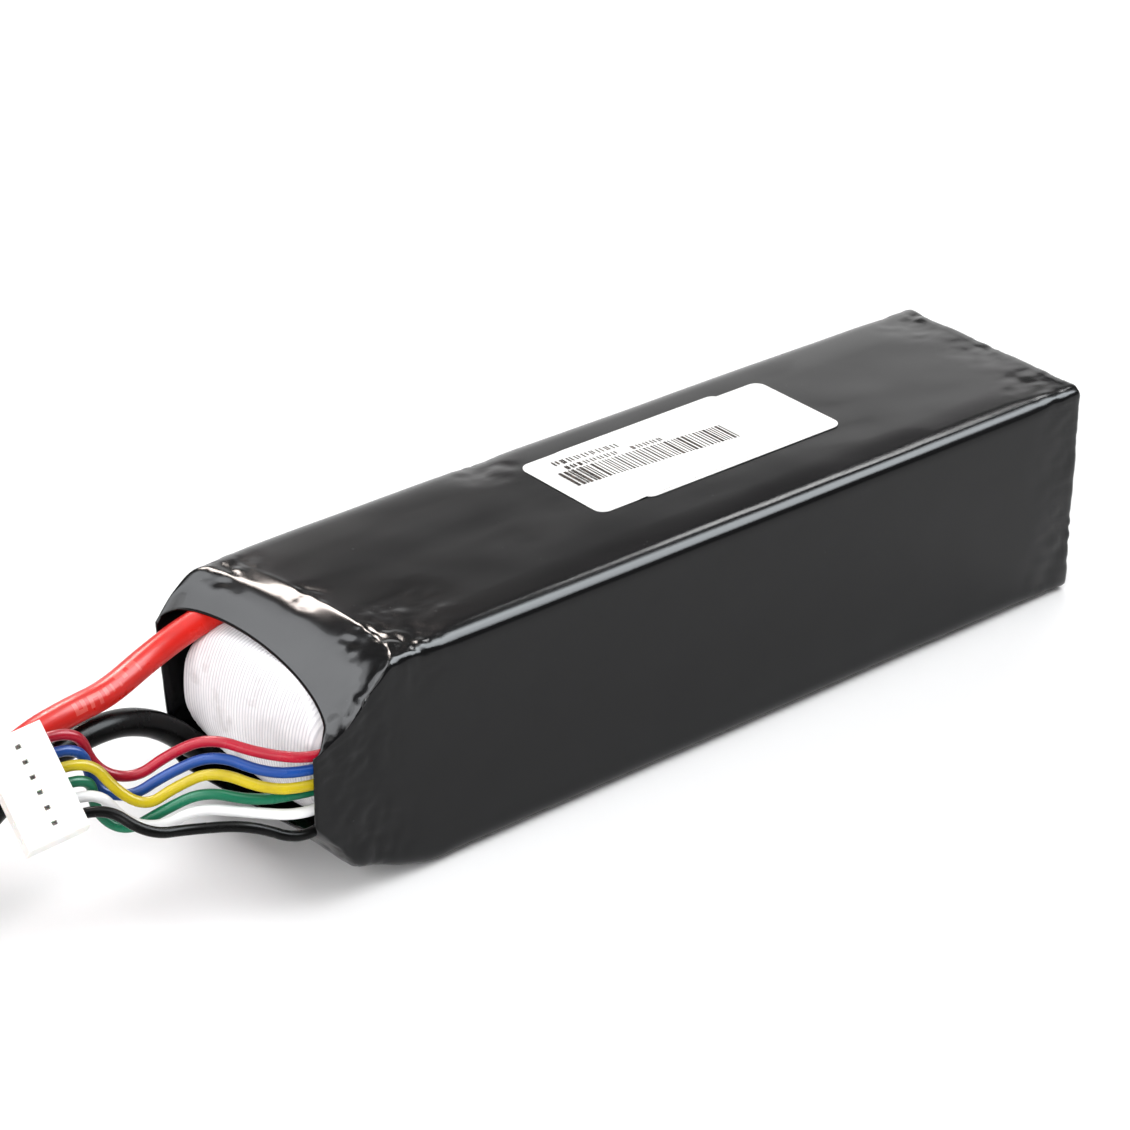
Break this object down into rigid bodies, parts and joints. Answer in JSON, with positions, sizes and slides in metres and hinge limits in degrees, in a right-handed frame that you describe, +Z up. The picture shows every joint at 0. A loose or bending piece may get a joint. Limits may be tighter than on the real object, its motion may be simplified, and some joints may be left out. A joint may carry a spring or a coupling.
{
  "type": "lipo battery pack",
  "caption": "Long box-shaped lithium polymer pack in a black shrink sleeve, with a red and a black power lead, a power plug and a fan of thin balance leads to a white plug.",
  "frame": {"origin": "on the surface that the pack lies on, under the middle of the shrink sleeve", "axes": "+X along the pack, from the mouth that the leads leave to the closed rear end; +Z up; +Y to the far side, where the two power leads come out"},
  "size_m": [0.2735, 0.043, 0.04],
  "materials": {
    "shrink_film": "glossy black heat-shrink film, softly wrinkled at its ends",
    "label_paper": null,
    "board": "green circuit board",
    "insulation_film": "amber insulating film",
    "copper": "plain copper bar",
    "solder": "bright solder",
    "guard_board": "thin glass-fibre board",
    "yellow_tape": "yellow polyester tape",
    "foam": "soft black foam",
    "white_cloth_tape": "white ribbed glass-cloth tape, slightly stained",
    "red_lead": "red silicone insulation with a small pale gauge print",
    "black_lead": "black silicone insulation",
    "white_nylon": "moulded white nylon",
    "tinned_contact": "tinned crimp contact",
    "yellow_nylon": "moulded yellow nylon",
    "gold_plate": "gold-plated contact",
    "red_shrink": "red heat-shrink tube",
    "black_shrink": "black heat-shrink tube",
    "cell_pouch": "aluminium laminate pouch",
    "spacer_tape": "double-sided tape",
    "aluminium_tab": "bare aluminium tab",
    "nickel_tab": "nickel-plated copper tab",
    "red_wire": "red silicone insulation",
    "blue_wire": "blue silicone insulation",
    "yellow_wire": "yellow silicone insulation",
    "green_wire": "green silicone insulation",
    "white_wire": "white silicone insulation",
    "black_wire": "black silicone insulation"
  },
  "bodies": {
    "root": {"shrink_sleeve": "shrink_film", "label_lower": "label_paper", "label_upper": "label_paper", "tab_board": "board", "insulation_sheet": "insulation_film", "positive_bus_bar": "copper", "negative_bus_bar": "copper", "main_solder_joints": "solder", "balance_solder_joints": "solder", "lower_guard_board": "guard_board", "upper_guard_board": "guard_board", "binding_tape_front": "yellow_tape", "binding_tape_rear": "yellow_tape", "front_foam_block": "foam", "front_tape": "white_cloth_tape", "rear_foam_pad": "foam", "rear_tape": "white_cloth_tape", "positive_lead": "red_lead", "negative_lead": "black_lead", "balance_plug_housing": "white_nylon", "balance_plug_contacts": "tinned_contact", "power_plug_body": "yellow_nylon", "power_plug_positive_socket": "gold_plate", "power_plug_negative_socket": "gold_plate", "positive_solder_sleeve": "red_shrink", "negative_solder_sleeve": "black_shrink", "cell_1": "cell_pouch", "cell_2": "cell_pouch", "cell_3": "cell_pouch", "cell_4": "cell_pouch", "cell_5": "cell_pouch", "cell_spacer_1": "spacer_tape", "cell_spacer_2": "spacer_tape", "cell_spacer_3": "spacer_tape", "cell_spacer_4": "spacer_tape", "cell_1_positive_tab": "aluminium_tab", "cell_1_negative_tab": "nickel_tab", "cell_2_positive_tab": "aluminium_tab", "cell_2_negative_tab": "nickel_tab", "cell_3_positive_tab": "aluminium_tab", "cell_3_negative_tab": "nickel_tab", "cell_4_positive_tab": "aluminium_tab", "cell_4_negative_tab": "nickel_tab", "cell_5_positive_tab": "aluminium_tab", "cell_5_negative_tab": "nickel_tab", "series_link_1": "copper", "series_link_2": "copper", "series_link_3": "copper", "series_link_4": "copper", "balance_lead_red": "red_wire", "balance_lead_blue": "blue_wire", "balance_lead_yellow": "yellow_wire", "balance_lead_green": "green_wire", "balance_lead_white": "white_wire", "balance_lead_black": "black_wire"}
  },
  "joints": []
}
